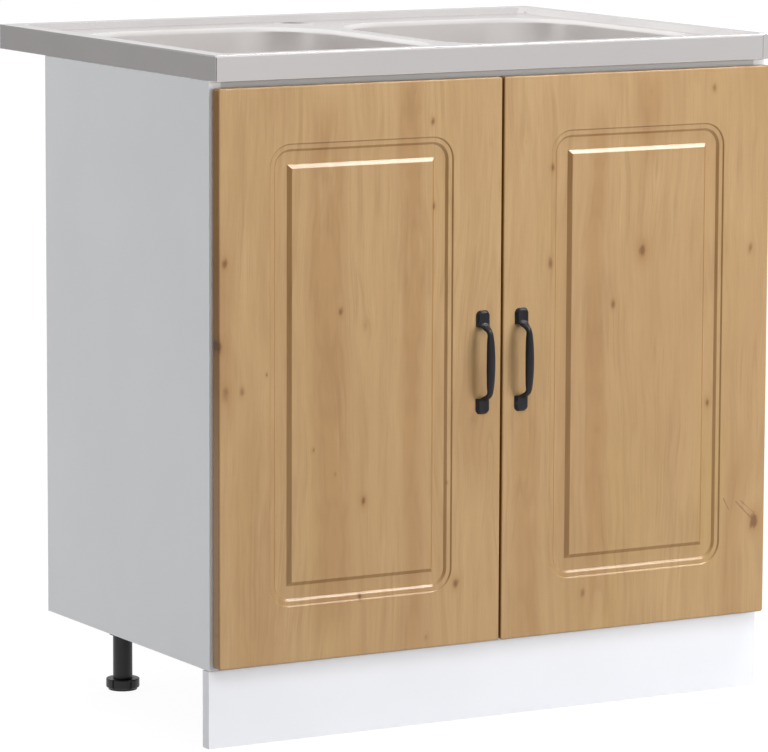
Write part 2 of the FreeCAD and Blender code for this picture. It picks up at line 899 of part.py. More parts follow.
outer_form = eased_prism(0, lip_corner + lip_edge_radius, carcass_top, rim_top, lip_edge_radius)
recess = between(
    sink_outline(rim_width, rim_corner, rim_top), sink_outline(rim_width + rim_slope, rim_corner, deck_top)
)
inner_form = eased_prism(
    sheet,
    lip_corner + lip_edge_radius - sheet,
    carcass_top + sheet,
    rim_top - sheet,
    lip_edge_radius - sheet,
)
recess_under = between(
    sink_outline(rim_width - sheet, rim_corner + sheet, rim_top),
    sink_outline(rim_width + rim_slope - sheet, rim_corner + sheet, deck_top - sheet),
)
hem_opening = prism(sink_outline(sheet + hem_width, rim_corner, carcass_top), UP * sheet)
sink_top = outer_form.cut(recess).cut(inner_form.cut(recess_under)).cut(hem_opening)
tap_hole_y = sink_back - tap_hole_margin
tap_axis = Vec(0, tap_hole_y, 0)
seat_form = turned(
    (
        (0, deck_top),
        (tap_seat_radius, deck_top),
        (tap_seat_radius - tap_seat_slope, deck_top + tap_seat_height),
        (0, deck_top + tap_seat_height),
    ),
    tap_axis,
)
seat_hollow = turned(
    (
        (0, deck_top - sheet),
        (tap_seat_radius - sheet, deck_top - sheet),
        (tap_seat_radius - tap_seat_slope - sheet, deck_top + tap_seat_height - sheet),
        (0, deck_top + tap_seat_height - sheet),
    ),
    tap_axis,
)
tap_hole = rod(tap_hole_radius, Vec(0, tap_hole_y, deck_top - sheet), UP, sheet + tap_seat_height)


def bowl_outline(spread, z):
    """The bowl's mouth, spread outwards, on a level plane."""
    return rounded_outline(
        bowl_middle_x,
        bowl_middle_y,
        bowl_width / 2 + spread,
        bowl_length / 2 + spread,
        bowl_corner + spread,
        on_level(z),
    )


cut_out = prism(bowl_outline(bowl_roll, deck_top - sheet), UP * sheet)
sink_top = sink_top.fuse(seat_form).cut([seat_hollow, tap_hole, cut_out, mirrored(cut_out)])
write("sink_top", sink_top)


def pressed_space(spread, top, floor, roll, floor_radius):
    """The space inside a pressed bowl, with its mouth rolled outwards and its floor edge round."""
    tool = between(bowl_outline(spread - bowl_draft, floor), bowl_outline(spread, top))
    half_x = bowl_width / 2 + press_margin
    half_y = bowl_length / 2 + press_margin
    mould = block(
        bowl_middle_x - half_x,
        bowl_middle_x + half_x,
        bowl_middle_y - half_y,
        bowl_middle_y + half_y,
        floor - press_margin,
        top,
    )
    inside_x = half_x - press_margin / 4
    inside_y = half_y - press_margin / 4

    def in_mouth(p):
        return abs(p.x - bowl_middle_x) < inside_x and abs(p.y - bowl_middle_y) < inside_y

    body = mould.cut(tool)
    mouth = edges_near(body, lambda p: abs(p.z - top) < sheet / 4 and in_mouth(p))
    body = body.makeFillet(roll, mouth)
    corner = edges_near(body, lambda p: abs(p.z - floor) < sheet / 4 and in_mouth(p))
    body = body.makeFillet(floor_radius, corner)
    return mould.cut(body)


inside = pressed_space(0, deck_top, bowl_floor, bowl_roll, bowl_floor_radius)
outside = pressed_space(
    sheet, deck_top - sheet, bowl_floor - sheet, bowl_roll - sheet, bowl_floor_radius + sheet
)
drain_floor = bowl_floor - drain_recess_depth
drain_axis = Vec(bowl_middle_x, bowl_middle_y, 0)
recess_inside = rod(drain_recess_radius, drain_axis + UP * drain_floor, UP, drain_recess_depth + sheet)
recess_outside = rod(
    drain_recess_radius + sheet, drain_axis + UP * (drain_floor - sheet), UP, drain_recess_depth + sheet
)
drain_hole = rod(drain_hole_radius, drain_axis + UP * (drain_floor - sheet), UP, 2 * sheet)
bowl = outside.fuse([cut_out, recess_outside]).cut([inside, recess_inside, drain_hole]).removeSplitter()
write("right_bowl", bowl)
write("left_bowl", mirrored(bowl))

# Brackets screwed to the side panels, with a tab over the sink's hem
clamps = []
for row in clamp_rows:
    upright = block(
        side_inner - clamp_thickness,
        side_inner,
        row - clamp_width / 2,
        row + clamp_width / 2,
        carcass_top - clamp_drop,
        carcass_top + sheet + clamp_thickness,
    )
    tab = block(
        side_inner - clamp_thickness,
        side_inner + clamp_tab,
        row - clamp_width / 2,
        row + clamp_width / 2,
        carcass_top + sheet,
        carcass_top + sheet + clamp_thickness,
    )
    clamps.append(drilled(upright.fuse(tab).removeSplitter(), pilot_holes))
write("sink_clamps", group(both_sides(clamps)))

# Waste outlets: a flanged cup in the bowl, a seal, and a plastic body screwed on the cup from below
flange_top = drain_floor + waste_flange_thickness
cup_floor = flange_top - waste_cup_depth
waste_cup = turned(
    (
        (waste_cup_radius - waste_wall, flange_top),
        (waste_flange_radius, flange_top),
        (waste_flange_radius, drain_floor),
        (waste_cup_radius, drain_floor),
        (waste_cup_radius, cup_floor - waste_wall),
        (0, cup_floor - waste_wall),
        (0, cup_floor),
        (waste_cup_radius - waste_wall, cup_floor),
    ),
    drain_axis,
)


def ring_of(shape, count):
    """Copies of a tool spaced evenly round the drain's axis."""
    copies = []
    for i in range(count):
        copy = shape.copy()
        copy.rotate(drain_axis, UP, 360 * i / count)
        copies.append(copy)
    return copies


hole_start = Vec(bowl_middle_x + waste_hole_circle, bowl_middle_y, cup_floor - waste_wall)
waste_hole = rod(waste_hole_radius, hole_start, UP, waste_wall)
waste_cup = waste_cup.cut(ring_of(waste_hole, waste_hole_count))
seal_top = drain_floor - sheet
seal_bottom = seal_top - seal_thickness
seal = turned(
    (
        (seal_inner_radius, seal_bottom),
        (seal_outer_radius, seal_bottom),
        (seal_outer_radius, seal_top),
        (seal_inner_radius, seal_top),
    ),
    drain_axis,
)
trap_inner = waste_cup_radius + trap_clearance
trap_outer = trap_inner + trap_wall
trap_floor = seal_bottom - trap_depth
outlet_inner = outlet_radius - outlet_wall
outlet_end = trap_floor - outlet_length
trap = turned(
    (
        (trap_inner, seal_bottom),
        (seal_outer_radius, seal_bottom),
        (seal_outer_radius, seal_bottom - trap_flange_thickness),
        (trap_outer, seal_bottom - trap_flange_thickness),
        (trap_outer, trap_floor),
        (outlet_radius, trap_floor - trap_wall),
        (outlet_radius, outlet_end),
        (outlet_inner, outlet_end),
        (outlet_inner, trap_floor - trap_wall),
        (outlet_inner, trap_floor),
        (trap_inner, trap_floor + trap_wall),
    ),
    drain_axis,
)

# Lift-out strainers with a central knob
basket_floor = cup_floor + strainer_lift
basket_top = basket_floor + strainer_height
knob_top = bowl_floor - knob_drop
strainer = turned(
    (
        (0, basket_floor),
        (strainer_radius, basket_floor),
        (strainer_radius, basket_top - strainer_lip_thickness),
        (strainer_radius + strainer_lip, basket_top - strainer_lip_thickness),
        (strainer_radius + strainer_lip, basket_top),
        (strainer_radius - strainer_wall, basket_top),
        (strainer_radius - strainer_wall, basket_floor + strainer_wall),
        (stem_radius, basket_floor + strainer_wall),
        (stem_radius, knob_top - knob_thickness),
        (knob_radius, knob_top - knob_thickness / 2),
        (knob_radius, knob_top),
        (0, knob_top),
    ),
    drain_axis,
)
slot_low = basket_floor + (strainer_height - strainer_slot_height) / 2
wall_slot = block(
    bowl_middle_x + strainer_radius - 2 * strainer_wall,
    bowl_middle_x + strainer_radius + strainer_wall,
    bowl_middle_y - strainer_slot_width / 2,
    bowl_middle_y + strainer_slot_width / 2,
    slot_low,
    slot_low + strainer_slot_height,
)
hole_start = Vec(bowl_middle_x + strainer_hole_circle, bowl_middle_y, basket_floor)
floor_hole = rod(strainer_hole_radius, hole_start, UP, strainer_wall)
strainer = strainer.cut(ring_of(wall_slot, strainer_slot_count) + ring_of(floor_hole, strainer_hole_count))
for name, piece in (("waste_cup", waste_cup), ("waste_body", trap), ("strainer", strainer)):
    write("right_" + name, piece)
    write("left_" + name, mirrored(piece))
write("waste_seals", group([seal, mirrored(seal)]))
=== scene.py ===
import math

import bmesh
import bpy
import numpy as np
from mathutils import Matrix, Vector
from mathutils.geometry import delaunay_2d_cdt


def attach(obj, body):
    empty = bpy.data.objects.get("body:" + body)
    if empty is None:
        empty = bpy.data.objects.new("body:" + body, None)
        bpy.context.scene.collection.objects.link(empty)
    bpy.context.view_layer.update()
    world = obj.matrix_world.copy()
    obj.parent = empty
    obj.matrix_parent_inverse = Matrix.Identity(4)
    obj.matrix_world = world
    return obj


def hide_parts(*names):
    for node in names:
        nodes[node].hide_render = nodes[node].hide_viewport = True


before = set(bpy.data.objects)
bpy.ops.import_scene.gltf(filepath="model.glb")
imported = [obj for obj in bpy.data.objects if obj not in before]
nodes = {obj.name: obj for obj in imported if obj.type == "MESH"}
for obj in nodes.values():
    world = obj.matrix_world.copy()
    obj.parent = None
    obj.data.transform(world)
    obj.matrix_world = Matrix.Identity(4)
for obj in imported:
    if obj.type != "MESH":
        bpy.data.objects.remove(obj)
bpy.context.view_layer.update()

scene = bpy.context.scene
scene.view_settings.view_transform = "Standard"

# The studio: a white floor in a white room, a key lamp low in front on the right, soft lamps
# overhead, above the front and behind on the left, and cards that show only in gloss.


class Finish:
    """A node material in the making. Patterns read the piece's own coordinates, in metres."""

    def __init__(self, name, **settings):
        self.material = bpy.data.materials.new(name)
        self.material.use_nodes = True
        self.nodes = self.material.node_tree.nodes
        self.shader = self.nodes["Principled BSDF"]
        self.place = self.node("ShaderNodeTexCoord").outputs["Object"]
        self.set(**settings)

    def feed(self, socket, value):
        """Links another node's output to a socket, or sets the socket's own value."""
        if isinstance(value, bpy.types.NodeSocket):
            self.material.node_tree.links.new(value, socket)
        elif isinstance(value, tuple) and len(value) == 3 and socket.type == "RGBA":
            socket.default_value = (*value, 1)
        else:
            socket.default_value = value

    def node(self, kind, inputs=(), **options):
        """A node of a kind, with its inputs fed by name or place, and its own options set."""
        made = self.nodes.new(kind)
        for name, value in options.items():
            setattr(made, name, value)
        for socket, value in dict(inputs).items():
            self.feed(made.inputs[socket], value)
        return made

    def set(self, **settings):
        """Feeds the shader's own inputs, each by its name."""
        for name, value in settings.items():
            self.feed(self.shader.inputs[name.replace("_", " ")], value)

    def math(self, operation, *values):
        """One step of arithmetic on up to three values."""
        made = self.node("ShaderNodeMath", operation=operation)
        for socket, value in zip(made.inputs, values):
            self.feed(socket, value)
        return made.outputs[0]

    def scaled(self, x, y, z):
        """The piece's coordinates, stretched along each axis."""
        inputs = {"Vector": self.place, "Scale": (x, y, z)}
        return self.node("ShaderNodeMapping", inputs).outputs[0]

    def noise(self, vector, scale=1.0, detail=2.0, roughness=0.5):
        """Soft noise from 0 to 1, in blots as wide as one over the scale."""
        inputs = {"Vector": vector, "Scale": scale, "Detail": detail, "Roughness": roughness}
        return self.node("ShaderNodeTexNoise", inputs).outputs[0]

    def span(self, value, low, high, to_low=0.0, to_high=1.0):
        """A value's stretch between two limits, laid smoothly between two others."""
        inputs = {"Value": value, 1: low, 2: high, 3: to_low, 4: to_high}
        ramp = self.node("ShaderNodeMapRange", inputs, interpolation_type="SMOOTHSTEP")
        return ramp.outputs[0]

    def mix(self, share, first, second, blend="MIX"):
        """A colour that goes from the first to the second as the share goes from 0 to 1."""
        inputs = {0: share, 6: first, 7: second}
        made = self.node("ShaderNodeMix", inputs, data_type="RGBA", blend_type=blend)
        return made.outputs[2]

    def relief(self, height, depth):
        """Raises the surface by a height from 0 to 1, times a depth in metres."""
        bump = self.node("ShaderNodeBump", {"Height": height, "Distance": depth, "Strength": 1.0})
        self.set(Normal=bump.outputs[0])


def seen_share(tree):
    """A number that is 1 for rays from the lens, mirrors and glass, and 0 for the others."""
    path = tree.nodes.new("ShaderNodeLightPath")
    share = path.outputs["Is Camera Ray"]
    for other in ("Is Glossy Ray", "Is Transmission Ray"):
        either = tree.nodes.new("ShaderNodeMath")
        either.operation = "MAXIMUM"
        tree.links.new(share, either.inputs[0])
        tree.links.new(path.outputs[other], either.inputs[1])
        share = either.outputs[0]
    return share


def link(made):
    """Puts an object into the scene."""
    scene.collection.objects.link(made)
    return made


# strengths at which the floor shows and the room lights the unit, where 1 is white
floor_glow, room_light = 0.95, 0.32
# the floor's colour in the light that it throws back, and where it is seen
thrown_back, bare_floor = (0.25, 0.25, 0.25), (0.05, 0.05, 0.05)
floor_finish = Finish("studio floor")
seen = seen_share(floor_finish.material.node_tree)
mottle = floor_finish.noise(floor_finish.place, 3.0, 3.0)
floor_finish.set(
    Roughness=floor_finish.span(mottle, 0.3, 0.7, 0.85, 0.95),
    Emission_Color=(1.0, 1.0, 1.0),
    Emission_Strength=floor_finish.math("MULTIPLY", seen, floor_glow),
    Base_Color=floor_finish.mix(seen, thrown_back, bare_floor),
)
bpy.ops.mesh.primitive_plane_add(size=24)
floor = bpy.context.object
floor.name = "studio_floor"
floor.data.materials.append(floor_finish.material)

world = bpy.data.worlds.new("white room")
world.use_nodes = True
scene.world = world
room = world.node_tree
lit = room.nodes.new("ShaderNodeMix")
room.links.new(seen_share(room), lit.inputs[0])
lit.inputs[2].default_value = room_light
lit.inputs[3].default_value = 1.0
room.nodes["Background"].inputs["Color"].default_value = (1, 1, 1, 1)
room.links.new(lit.outputs[0], room.nodes["Background"].inputs["Strength"])


def gloss_card(name, middle, width, height, level, beside=None, above=(0, 0, 1)):
    """A card that shows at a plain level, in gloss only. It stands and faces the unit, unless
    the directions of its width and height are given."""
    card_finish = Finish(name, Base_Color=(0, 0, 0), Emission_Color=(1, 1, 1))
    shade = card_finish.noise(card_finish.place, 0.6)
    strength = card_finish.span(shade, 0.2, 0.8, 0.94 * level, 1.06 * level)
    card_finish.set(Emission_Strength=strength)
    mesh = bpy.data.meshes.new(name)
    spot = Vector(middle)
    beside = Vector(beside or (-spot.y, spot.x, 0)).normalized() * width / 2
    above = Vector(above) * height / 2
    left, right = spot - beside, spot + beside
    corners = [left - above, right - above, right + above, left + above]
    mesh.from_pydata(corners, [], [(0, 1, 2, 3)])
    mesh.materials.append(card_finish.material)
    card = link(bpy.data.objects.new(name, mesh))
    for ray in ("camera", "diffuse", "transmission", "shadow", "volume_scatter"):
        setattr(card, "visible_" + ray, False)


# middle, width, height, level, and the directions of the width and the height
gloss_card("studio_card_front", (1.48, -2.87, 0.55), 4.0, 1.1, 0.65)
gloss_card("studio_card_over_front", (0.79, -0.289, 2.02), 2.4, 2.3, 0.80, (1, 0, 0))
gloss_card("studio_card_back", (-1.6, 2.15, 0.65), 3.4, 1.3, 0.335)
gloss_card("studio_card_deck", (1.48, 2.58, 1.11), 2.8, 0.7, 0.72)
gloss_card("studio_card_left", (-2.4, -1.3, 1.0), 3.4, 1.6, 0.12)
gloss_card("studio_card_top", (1.7, -0.87, 3.2), 1.5, 0.6, 24.0, (1, 0, 0), (0, 1, 0))


def soft_lamp(name, direction, distance, width, height, power, target):
    """A flat lamp that hangs off a target along a direction and faces it. Gloss shows the
    cards in its place."""
    lamp = bpy.data.lights.new(name, "AREA")
    lamp.shape = "RECTANGLE"
    lamp.size, lamp.size_y = width, height
    lamp.energy = power
    holder = link(bpy.data.objects.new(name, lamp))
    holder.location = Vector(target) + Vector(direction).normalized() * distance
    holder.rotation_euler = Vector(direction).to_track_quat("Z", "Y").to_euler()
    holder.visible_glossy = False


# direction, distance, width, height, power in watts, and target
soft_lamp("overhead_lamp", (0.494, -0.06, 0.87), 3.0, 1.9, 0.6, 68, (0, -0.2, 0.6))
soft_lamp("canopy_lamp", (-0.2, -0.75, 0.6), 3.5, 3.0, 1.6, 39, (0, -0.2, 0.5))
soft_lamp("key_lamp", (0.52, -0.85, 0.08), 4.5, 1.8, 1.8, 116, (0, -0.2, 0.6))
soft_lamp("fill_lamp", (-0.9, 0.42, 0.1), 3.0, 2.0, 2.0, 32, (-0.3, 0, 0.45))

# the camera's place, lens and turns are worked out from the photograph's edges
lens = bpy.data.cameras.new("camera")
lens.sensor_width, lens.lens = 36.0, 227.09
camera = link(bpy.data.objects.new("camera", lens))
camera.location = (-3.09804, -5.37591, 1.28867)
camera.rotation_euler = (math.pi / 2 - 0.142481, -0.003836, -0.521845)
scene.camera = camera


# Carcass: two sides, a floor and three rails of coated chipboard, sawn square, with their
# edges banded in the same grey-white melamine and eased by a scraper. The front top rail is
# painted a darker grey, as painted shade for the gap under the sink's skirt.


def coated_board(name, colour):
    """Melamine: a faint pearl relief, a little cloudiness and rubbed patches in the gloss."""
    finish = Finish(name, IOR=1.5)
    cloud = finish.noise(finish.place, 6.0, 3.0)
    pearl = finish.noise(finish.place, 900.0, 2.0)
    rubbed = finish.noise(finish.scaled(14, 14, 3), 1.0, 4.0, 0.6)
    darker = tuple(0.975 * c for c in colour)
    finish.set(
        Base_Color=finish.mix(finish.span(cloud, 0.3, 0.7), darker, colour),
        Roughness=finish.span(rubbed, 0.35, 0.7, 0.42, 0.56),
    )
    finish.relief(pearl, 0.00004)
    return finish.material


def eased_copy(node, body, material, easing):
    """A copy of a solid's loose triangles, joined, its sharp edges eased by a narrow bevel."""
    merged_within = 0.00001
    flat_within, sharp_from, bevelled_from = (math.radians(turn) for turn in (0.3, 32, 35))
    mesh = nodes[node].data.copy()
    form = bmesh.new()
    form.from_mesh(mesh)
    bmesh.ops.remove_doubles(form, verts=form.verts, dist=merged_within)
    bmesh.ops.dissolve_limit(
        form, angle_limit=flat_within, verts=form.verts, edges=form.edges
    )
    form.to_mesh(mesh)
    form.free()
    mesh.materials.clear()
    mesh.materials.append(material)
    mesh.shade_smooth()
    mesh.set_sharp_from_angle(angle=sharp_from)
    piece = link(bpy.data.objects.new(node + "_piece", mesh))
    bevel = piece.modifiers.new("eased edges", "BEVEL")
    bevel.width = easing
    bevel.segments = 2
    bevel.limit_method = "ANGLE"
    bevel.angle_limit = bevelled_from
    bevel.harden_normals = True
    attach(piece, body)
    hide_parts(node)


board_white = coated_board("grey-white board", (0.86, 0.87, 0.885))
# painted shade: the front top rail's darker grey stands in for the shade in the gap between the
# doors and the sink's skirt
rail_shade_grey = coated_board("rail board in painted shade", (0.60, 0.595, 0.60))
for board in ("left_side_panel", "right_side_panel", "bottom_panel"):
    eased_copy(board, "cabinet", board_white, 0.0004)
for rail in ("rear_wall_rail", "rear_lower_rail"):
    eased_copy(rail, "cabinet", board_white, 0.0004)
eased_copy("front_top_rail", "cabinet", rail_shade_grey, 0.0004)


# Fittings that hold the boards and the sink: cast cams, steel bolts and screws, bent steel
# brackets, all zinc plated, and beech dowels.


def plated_steel(name, colour, roughness):
    """Plated or drawn steel: fine streaks in the gloss and the relief, with duller spots."""
    finish = Finish(name, Metallic=1.0)
    streak = finish.noise(finish.place, 200.0, 3.0, 0.6)
    spots = finish.noise(finish.place, 60.0, 3.0)
    dull = tuple(0.86 * c for c in colour)
    finish.set(
        Base_Color=finish.mix(finish.span(spots, 0.35, 0.75), colour, dull),
        Roughness=finish.span(streak, 0.3, 0.7, roughness - 0.06, roughness + 0.08),
    )
    finish.relief(streak, 0.00002)
    return finish.material


zinc_steel = plated_steel("zinc plated steel", (0.66, 0.67, 0.69), 0.38)
nickel_steel = plated_steel("nickel plated steel", (0.70, 0.69, 0.67), 0.24)
for fitting in ("cam_locks", "cam_bolts", "board_screws", "sink_clamps"):
    eased_copy(fitting, "cabinet", zinc_steel, 0.00015)

dowel_wood = Finish("turned beech", Roughness=0.6)
flecks = dowel_wood.noise(dowel_wood.scaled(60, 900, 900), 1.0, 3.0, 0.6)
fleck_share = dowel_wood.span(flecks, 0.35, 0.7)
dowel_wood.set(Base_Color=dowel_wood.mix(fleck_share, (0.62, 0.43, 0.25), (0.45, 0.28, 0.15)))
dowel_wood.relief(flecks, 0.0001)
eased_copy("wood_dowels", "cabinet", dowel_wood.material, 0.0006)


# Legs: black moulded sockets under the floor panel, tubes pushed into them, and round
# notched feet that screw in and out of the tubes.


def moulded_plastic(name, colour, roughness):
    """Moulded plastic: a fine spark-eroded grain, faint flow marks and scuffs in the gloss."""
    finish = Finish(name, IOR=1.46)
    grain = finish.noise(finish.place, 2600.0, 2.0, 0.6)
    flow = finish.noise(finish.scaled(30, 30, 9), 1.0, 3.0)
    scuff = finish.noise(finish.scaled(160, 160, 30), 1.0, 4.0, 0.7)
    lighter = tuple(min(1.0, 1.35 * c + 0.006) for c in colour)
    finish.set(
        Base_Color=finish.mix(finish.span(flow, 0.35, 0.75), colour, lighter),
        Roughness=finish.span(scuff, 0.4, 0.75, roughness, roughness + 0.14),
    )
    finish.relief(grain, 0.00005)
    return finish.material


black_plastic = moulded_plastic("black plastic", (0.011, 0.011, 0.012), 0.36)
for row in ("front", "rear"):
    for side in ("left", "right"):
        eased_copy(f"leg_socket_{row}_{side}", "cabinet", black_plastic, 0.0005)
        eased_copy(f"leg_tube_{row}_{side}", "cabinet", black_plastic, 0.0004)
        eased_copy(f"foot_{row}_{side}", f"foot_{row}_{side}", black_plastic, 0.0005)


# Plinth: a board coated in a whiter melamine, in front of the legs. Two black spring clips on
# its back grip the front tubes, so it pulls off.
plinth_white = coated_board("white plinth board", (0.935, 0.947, 0.99))
eased_copy("plinth_board", "cabinet", plinth_white, 0.0004)
eased_copy("plinth_clips", "cabinet", black_plastic, 0.0004)


# Concealed hinges: pressed cups let into the doors, arms that clip on plates inside the
# sides, and the pins between them, all nickel plated, with zinc plated screws.
for side in ("left", "right"):
    for level in ("upper", "lower"):
        eased_copy(f"hinge_cup_{level}_{side}", f"{side}_door", nickel_steel, 0.00025)
        eased_copy(f"hinge_arm_{level}_{side}", "cabinet", nickel_steel, 0.0003)
        eased_copy(f"hinge_plate_{level}_{side}", "cabinet", nickel_steel, 0.0003)
    eased_copy(f"{side}_hinge_pins", f"{side}_door", nickel_steel, 0.0002)
    eased_copy(f"{side}_hinge_cup_screws", f"{side}_door", zinc_steel, 0.00015)


# Doors: fibreboard, routed, then wrapped all round in a satin film printed as knotty oak. Two
# soft pads on the back keep each from slamming.


millimetre = 0.001
drift = 0.05  # the furthest that a grain line drifts aside, in metres


def oak_film(name, hearts, bands, knots, checks=()):
    """The printed oak. A grain line's place is its distance across the door, less that distance
    to each knot times a share that falls with the square of the way from it, so lines part round
    knots. Places are then folded about the plank's hearts and drift with the height, so lines
    close in tall arches there. Streaks, fibres and pores are noise along those lines. Drying
    checks are the nearness to short straight lines."""
    film = Finish(name, IOR=1.48)
    parts = film.node("ShaderNodeSeparateXYZ", {"Vector": film.place}).outputs
    across, along = parts["X"], parts["Z"]
    crumbs = film.noise(film.scaled(110, 110, 60), 1.0, 3.0, 0.6)
    ragged = film.span(crumbs, 0.3, 0.7, 0.45, 1.75)
    # each knot: the lines part round it, its core is ragged, and a warmer halo lies about it
    line, core, halo = across, 0.0, 0.0
    for x, z, size, dark in knots:
        size = size * millimetre
        dx = film.math("SUBTRACT", across, x * millimetre)
        dz = film.math("MULTIPLY", film.math("SUBTRACT", along, z * millimetre), 0.6)
        square = film.math("MULTIPLY_ADD", dz, dz, film.math("MULTIPLY", dx, dx))
        share = film.math("DIVIDE", size * size, film.math("ADD", square, size * size))
        line = film.math("SUBTRACT", line, film.math("MULTIPLY", dx, share))
        torn = film.math("MULTIPLY_ADD", square, ragged, 0.8 * size * size)
        torn_share = film.math("DIVIDE", size * size, torn)
        core = film.math("MAXIMUM", core, film.math("MULTIPLY", torn_share, dark))
        halo = film.math("MAXIMUM", halo, film.math("MULTIPLY", film.math("SQRT", share), dark))
    # each drying check: how far a point lies aside of its line, and beyond the line's ends
    check = 0.0
    for x, z, run_x, run_z, half in checks:
        length = math.hypot(run_x, run_z)
        ux, uz = run_x / length, run_z / length
        half_length, half_width = 0.5 * length * millimetre, half * millimetre
        dx = film.math("SUBTRACT", across, x * millimetre)
        dz = film.math("SUBTRACT", along, z * millimetre)
        gone = film.math("MULTIPLY_ADD", dx, ux, film.math("MULTIPLY", dz, uz))
        aside = film.math("MULTIPLY_ADD", dx, -uz, film.math("MULTIPLY", dz, ux))
        aside = film.math("MULTIPLY", film.math("ABSOLUTE", aside), ragged)
        beyond = film.math("ABSOLUTE", film.math("SUBTRACT", gone, half_length))
        beyond = film.math("MAXIMUM", film.math("SUBTRACT", beyond, half_length), 0.0)
        far = film.math("MULTIPLY_ADD", beyond, 0.5, aside)
        near = film.span(far, 0.3 * half_width, 1.6 * half_width, 1.0, 0.0)
        check = film.math("MAXIMUM", check, near)
    # the lines sway with the height, fold about the nearest heart and lean into arches
    sway = film.noise(film.scaled(4, 0, 2.2), 1.0, 3.0)
    line = film.math("MULTIPLY_ADD", sway, drift, line)
    fold = 1.0
    for heart in hearts:
        off = film.math("SUBTRACT", line, heart * millimetre + drift / 2)
        far = film.math("SQRT", film.math("MULTIPLY_ADD", off, off, 0.00005))
        fold = film.math("MINIMUM", fold, far)
    ripple = film.noise(film.scaled(22, 0, 8), 1.0, 2.0)
    fold = film.math("MULTIPLY_ADD", ripple, 0.012, fold)
    fold = film.math("MULTIPLY_ADD", along, 0.03, fold)

    def along_grain(place, wide, long, seed, detail=3.0, roughness=0.55):
        """Noise on the grain lines, in streaks so many to a metre across and along."""
        vector = film.node("ShaderNodeCombineXYZ", {
            "X": film.math("MULTIPLY", place, wide),
            "Y": seed,
            "Z": film.math("MULTIPLY", along, long),
        })
        return film.noise(vector.outputs[0], 1.0, detail, roughness)

    def ridge(value):
        """A value's nearness to one half, from 0 to 1, which makes thin lines of soft noise."""
        near = film.math("ABSOLUTE", film.math("SUBTRACT", value, 0.5))
        return film.math("SUBTRACT", 1.0, film.math("MULTIPLY", near, 2.0))

    # the figure's layers, from broad tones down to fibres and pores
    broad = along_grain(line, 9, 1.5, 3.1)
    mottle = along_grain(line, 30, 5.5, 9.4, 3.0, 0.6)
    streak = along_grain(fold, 95, 4.0, 7.7, 4.0, 0.65)
    arches = ridge(along_grain(fold, 130, 3.0, 2.3, 2.0, 0.45))
    breaks = along_grain(line, 24, 8, 4.4, 2.0)
    fibre = along_grain(line, 800, 14, 1.3, 3.0, 0.7)
    pore = along_grain(line, 1300, 60, 5.9, 1.0)
    # warmer bands, with soft sides and ends
    warm, band_fade = 0.0, 0.04
    for x, half, low, high, strength in bands:
        off = film.math("ABSOLUTE", film.math("SUBTRACT", line, x * millimetre + drift / 2))
        wide = film.math("MULTIPLY_ADD", mottle, 0.03, film.math("SUBTRACT", off, 0.015))
        half, low, high = half * millimetre, low * millimetre, high * millimetre
        across_share = film.span(wide, 0.4 * half, 1.4 * half, strength, 0.0)
        over = film.span(along, low - band_fade, low + band_fade)
        under = film.span(along, high - band_fade, high + band_fade, 1.0, 0.0)
        share = film.math("MULTIPLY", across_share, film.math("MULTIPLY", over, under))
        warm = film.math("MAXIMUM", warm, share)
    figure = ridge(along_grain(fold, 60, 9.0, 6.6, 2.0, 0.5))
    olive = film.noise(film.scaled(8, 0, 1.6), 1.3, 2.0)
    figured = film.math("MULTIPLY", film.span(figure, 0.8, 1.0, 0.0, 0.34), warm)
    broken = film.span(breaks, 0.46, 0.64, 0, 0.24)
    arched = film.math("MULTIPLY", film.span(arches, 0.82, 1.0), broken)
    # the print's inks, one over another: how much of each, and its colour
    tone = (0.515, 0.333, 0.157)
    for share, ink in (
        (film.span(broad, 0.3, 0.72), (0.470, 0.290, 0.134)),
        (film.span(olive, 0.5, 0.75, 0, 0.6), (0.478, 0.312, 0.122)),
        (warm, (0.415, 0.235, 0.097)),
        (film.span(mottle, 0.28, 0.44, 0.35, 0), (0.555, 0.378, 0.188)),
        (film.span(mottle, 0.48, 0.72, 0, 0.45), (0.415, 0.248, 0.106)),
        (film.span(streak, 0.45, 0.74, 0, 0.42), (0.375, 0.220, 0.094)),
        (figured, (0.325, 0.180, 0.075)),
        (arched, (0.280, 0.155, 0.066)),
        (film.span(fibre, 0.35, 0.7, 0, 0.18), (0.34, 0.198, 0.085)),
        (film.span(pore, 0.64, 0.8, 0, 0.24), (0.27, 0.145, 0.058)),
        (film.span(halo, 0.25, 0.75, 0, 0.55), (0.365, 0.190, 0.070)),
        (film.span(core, 0.35, 1.0, 0, 0.85), (0.185, 0.085, 0.030)),
        (film.math("MULTIPLY", check, 0.6), (0.21, 0.115, 0.05)),
    ):
        tone = film.mix(share, tone, ink)
    # painted shade: the tone is darkened and browned on the routing's slopes and the doors' edges,
    # most on the left and right runs, for the shade that falls there
    slope = film.node("ShaderNodeAttribute", attribute_name="slope").outputs["Fac"]
    slope_painted_shade = film.mix(1.0, tone, (0.56, 0.42, 0.14), "MULTIPLY")
    film.set(
        Base_Color=film.mix(slope, tone, slope_painted_shade),
        Roughness=film.span(streak, 0.3, 0.7, 0.25, 0.27),
    )
    film.relief(film.math("MULTIPLY_ADD", pore, -0.5, fibre), 0.00002)
    return film.material


def ring_points(centre, half, corner, turn=10):
    """A rounded rectangle as points: quarter circles of the corner's radius about points that
    lie the radius in from each corner, anticlockwise from the right."""
    points = []
    for quarter in range(4):
        angle = (quarter + np.linspace(0, 1, turn)) * math.pi / 2
        sign = np.array([(1, 1), (-1, 1), (-1, -1), (1, -1)][quarter])
        middle = np.asarray(centre) + sign * (np.asarray(half) - corner)
        points.append(middle + corner * np.stack([np.cos(angle), np.sin(angle)], 1))
    return np.concatenate(points)


